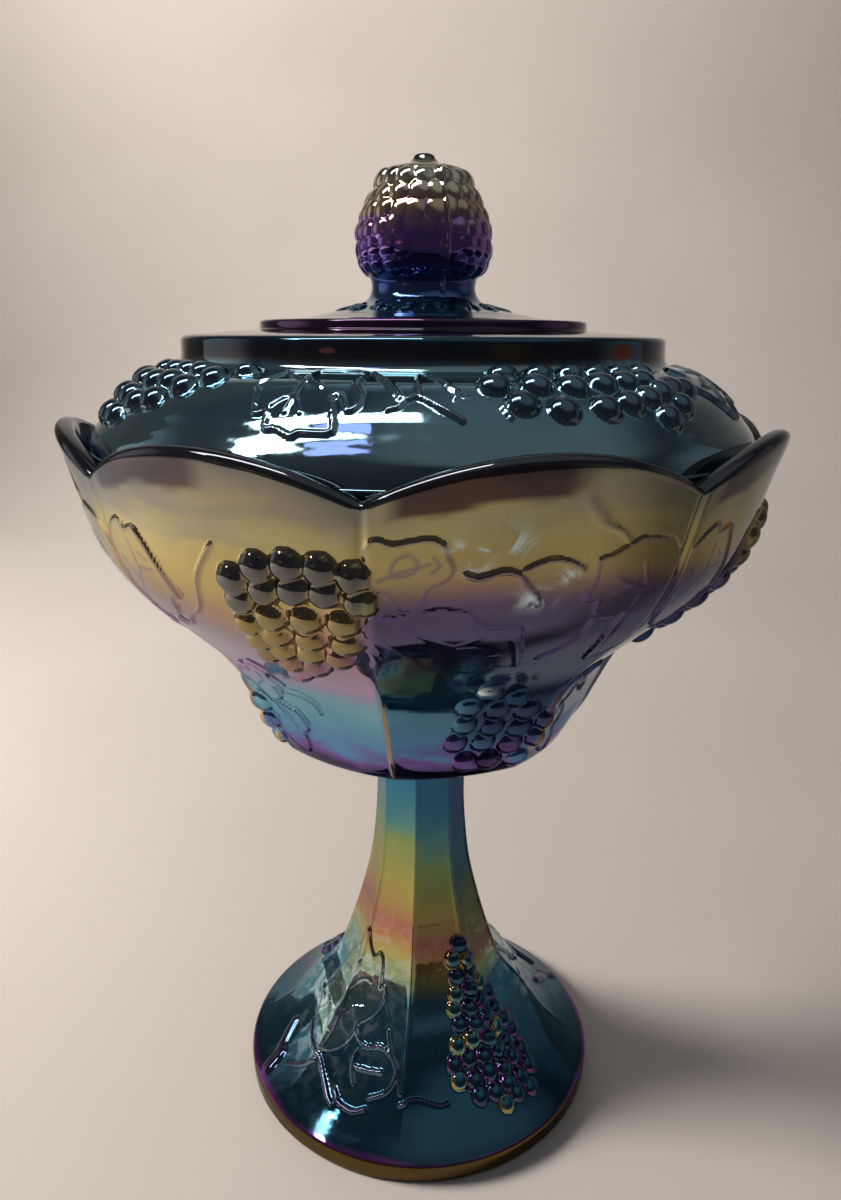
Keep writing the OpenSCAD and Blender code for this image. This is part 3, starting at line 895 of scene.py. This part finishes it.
def make_stage():
    """Floor that turns up behind the object. The glass mirrors only the part near it."""
    material = matte()
    back = BEND_Y + BEND_R
    bend = [(BEND_Y + BEND_R * math.sin(a), BEND_R - BEND_R * math.cos(a))
            for a in np.radians(np.linspace(0, 90, 12))]
    side = [(MIRRORED_FROM, 0), (-0.2, 0), (0.3, 0)] + bend + [(back, 1.2), (back, 2.2)]
    front = [(-FLOOR_HALF, 0), (-1.6, 0), (MIRRORED_FROM, 0)]
    make_floor("floor", side, material, True)
    make_floor("floor_front", front, material, False)


def area_light(name, place, target, size, size_y, power, colour, mirrored, spread=180):
    """A soft light that either lights the scene unseen, or only shows as a highlight in the glass."""
    data = bpy.data.lights.new(name, "AREA")
    data.shape = "RECTANGLE"
    data.size, data.size_y = size, size_y
    data.energy = power
    data.color = colour
    data.spread = math.radians(spread)
    obj = bpy.data.objects.new(name, data)
    obj.location = place
    obj.rotation_euler = (Vector(target) - Vector(place)).to_track_quat("-Z", "Y").to_euler()
    obj.visible_glossy = mirrored
    obj.visible_diffuse = not mirrored
    bpy.context.scene.collection.objects.link(obj)


def make_lights():
    """Three lights that are never seen, then three that show only as highlights in the glass."""
    area_light("key", (-0.95, 0.10, 0.62), (-0.2, 0.0, 0.0), 0.35, 0.35, 8.3, (1.0, 0.95, 0.90), False, 130)
    area_light("back", (-0.75, 0.20, 1.05), (0.1, 1.25, 0.75), 0.6, 0.6, 7.5, (1.0, 0.96, 0.92), False, 110)
    area_light("soft", (-0.1, 0.6, 1.5), (0, 0.6, 0), 1.2, 1.0, 1.3, (0.98, 0.98, 1.0), False)
    area_light("strip", (-0.46, -0.14, 1.12), (-0.46, 0.2, 0.0), 0.92, 0.20, 7.0, (1.0, 0.99, 0.95), True)
    area_light("violet", (-0.36, -0.31, 1.12), (-0.36, 0.0, 0.0), 0.30, 0.08, 0.26, (0.55, 0.50, 1.0), True)
    area_light("window", (-0.80, -0.25, 1.03), (0, 0, 0.05), 0.09, 0.04, 0.4, (0.85, 0.95, 1.0), True)


ROOM_DARK, BACKDROP = (0.045, 0.045, 0.060), (0.62, 0.57, 0.53)
# soft-edged parts of the dark room: direction, degrees off it where they end and are full, colour
ROOM = [((0.33, -0.18, 0.93), 42, 18, (0.22, 0.25, 0.26)), ((0.0, 0.75, 0.66), 30, 12, (0.38, 0.42, 0.44)),
        ((-0.93, 0.36, 0.10), 32, 10, (0.50, 0.52, 0.54)), ((0.93, 0.36, 0.10), 30, 9, (0.16, 0.18, 0.20)),
        ((-0.67, -0.745, 0.0), 6, 4, (0.50, 0.22, 0.20)), ((-0.82, -0.57, 0.0), 3, 2, (0.50, 0.10, 0.06)),
        ((-0.54, -0.84, 0.0), 2.5, 1.5, (0.30, 0.34, 0.20)), ((0.98, 0.18, 0.0), 9, 3, (0.34, 0.10, 0.05)),
        ((0.62, -0.78, 0.0), 12, 6, (0.10, 0.08, 0.04))]


def make_world():
    """What the glass mirrors: a dark room with a few pale parts, and small warm shapes at eye
    level. The camera sees a plain backdrop instead."""
    world = bpy.data.worlds.new("studio")
    bpy.context.scene.world = world
    world.use_nodes = True
    m = Nodes(world.node_tree)
    way = m.add("ShaderNodeTexCoord").outputs["Generated"]
    room = ROOM_DARK
    for direction, ends, full, colour in ROOM:
        dot = m.add("ShaderNodeVectorMath", operation="DOT_PRODUCT")
        m.join(way, dot.inputs[0])
        dot.inputs[1].default_value = Vector(direction).normalized()
        patch = m.fit(dot.outputs["Value"], math.cos(math.radians(ends)), math.cos(math.radians(full)))
        room = m.mix(patch, room, colour)
    seen = m.add("ShaderNodeLightPath").outputs["Is Camera Ray"]
    back = m.add("ShaderNodeBackground")
    m.join(m.mix(seen, room, BACKDROP), back.inputs["Color"])
    out = m.add("ShaderNodeOutputWorld")
    m.join(back.outputs[0], out.inputs[0])


CAMERA_AT = (0, -0.2312, 0.2126)
CAMERA_PITCH = 16.5177    # degrees below level
CAMERA_ROLL = 0.344
LENS, SENSOR = 26.7, 36   # mm
SHIFT = -0.000917         # sideways, as a share of the frame's longer side


def make_camera():
    data = bpy.data.cameras.new("camera")
    data.sensor_width = SENSOR
    data.lens = LENS
    data.clip_start = 0.01
    data.shift_x = SHIFT
    cam = bpy.data.objects.new("camera", data)
    cam.location = CAMERA_AT
    look = Vector((0, math.cos(math.radians(CAMERA_PITCH)), -math.sin(math.radians(CAMERA_PITCH))))
    cam.rotation_euler = look.to_track_quat("-Z", "Y").to_euler()
    cam.rotation_euler.rotate_axis("Z", math.radians(CAMERA_ROLL))
    bpy.context.scene.collection.objects.link(cam)
    bpy.context.scene.camera = cam


make_camera()
make_world()
make_stage()
make_lights()
bpy.context.scene.view_settings.view_transform = "Standard"

bowl = make_bowl()
pedestal = make_pedestal()
lid = make_lid()
for piece, node, body, slot, look in (
    (pedestal, "pedestal", "compote", "pedestal_glass", (FOOT_FILM, 0.12, (0.16, 0.06, 0.16), 0.15)),
    (bowl, "bowl", "compote", "bowl_glass", (BOWL_FILM, 0.19, (0.10, 0.07, 0.22), 0.15)),
    (lid, "lid", "lid", "lid_glass", (LID_FILM, 0.055, (0.20, 0.22, 0.30), 0.5)),
):
    piece.data.materials.append(glass(slot + "_film", *look))
    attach(piece, body)
    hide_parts(node)

bpy.context.view_layer.update()
